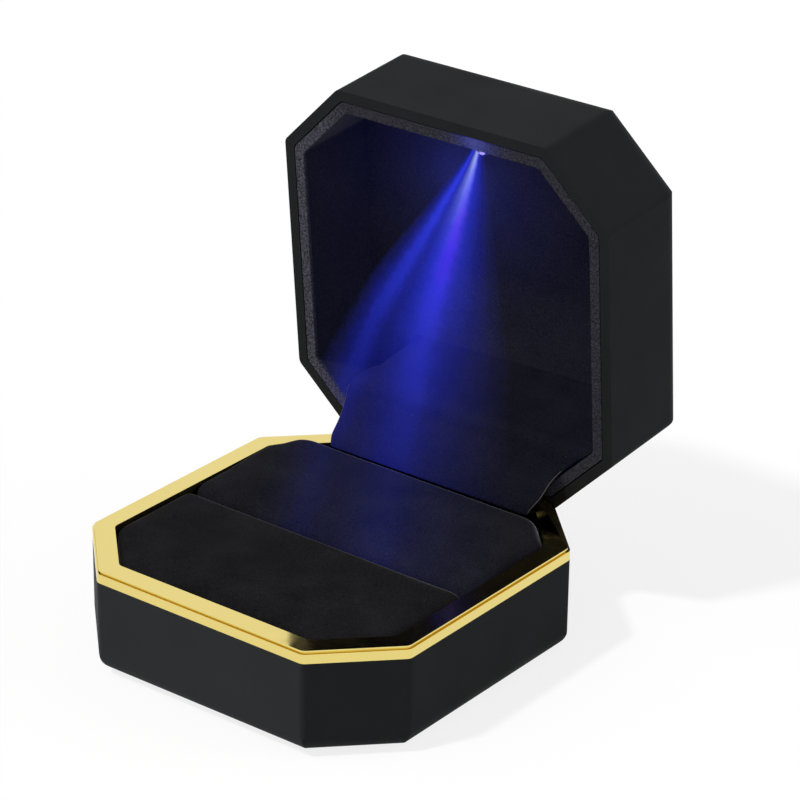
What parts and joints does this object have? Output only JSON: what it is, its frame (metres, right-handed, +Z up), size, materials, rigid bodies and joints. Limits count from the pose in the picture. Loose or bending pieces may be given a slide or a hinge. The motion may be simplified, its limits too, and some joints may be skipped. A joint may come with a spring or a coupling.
{
  "type": "ring display box",
  "caption": "Octagonal hinged ring display box with a gold trim, a ring slot between velvet pads and a lamp in the lid that lights when the lid is open.",
  "frame": {"origin": "centre of the flat underside pad, on the surface that the box stands on", "axes": "+X along the hinge, -Y towards the front where the lid opens, +Z up; drawn with the lid open"},
  "size_m": [0.065, 0.0849, 0.0835],
  "materials": {
    "shell": "soft satin black with a slight rubbery sheen",
    "trim": "mirror-bright gold plating",
    "tray": "plain moulded black",
    "velvet": "short black velvet pile",
    "flock": "black flocking with pale specks",
    "foot_felt": "thin black felt",
    "hinge_steel": "plated, lightly brushed",
    "spring_steel": "bright spring steel",
    "board": "green circuit board",
    "cell": "bright coin cell",
    "switch_plastic": "black",
    "plunger": "off-white, smooth",
    "lamp_lens": "clear lens, lit blue-violet",
    "wire": "thin insulated wire"
  },
  "bodies": {
    "base": {"base_pad": "foot_felt", "base_shell": "shell", "trim_frame": "trim", "insert_tray": "tray", "front_pad": "velvet", "rear_pad": "velvet", "hinge_base_leaf": "hinge_steel", "hinge_base_screws": "hinge_steel", "hinge_pin": "hinge_steel", "hinge_spring": "spring_steel"},
    "lid": {"lid_shell": "shell", "lid_liner": "flock", "hinge_cover": "velvet", "hinge_lid_leaf": "hinge_steel", "hinge_lid_screws": "hinge_steel", "battery_board": "board", "coin_cells": "cell", "battery_clips": "spring_steel", "resistor": "switch_plastic", "switch_body": "switch_plastic", "switch_spring": "spring_steel", "lamp_housing": "flock", "lamp_board": "board", "lamp": "lamp_lens", "lamp_wires": "wire"},
    "switch_plunger": {"switch_plunger": "plunger"}
  },
  "joints": [
    {"name": "lid_hinge", "type": "hinge", "parent": "base", "child": "lid", "pos_m": [0, 0.03175, 0.018], "axis": [1, 0, 0], "range_deg": [0, 85], "deforming": ["hinge_spring"]},
    {"name": "switch_slide", "type": "slide", "parent": "lid", "child": "switch_plunger", "axis": [0, 0.9962, 0.0872], "range_m": [0, 0.0012], "deforming": ["switch_spring"]}
  ],
  "couplings": [
    {"joint": "switch_slide", "follows": "lid_hinge", "m_per_rad": 0.000808}
  ]
}
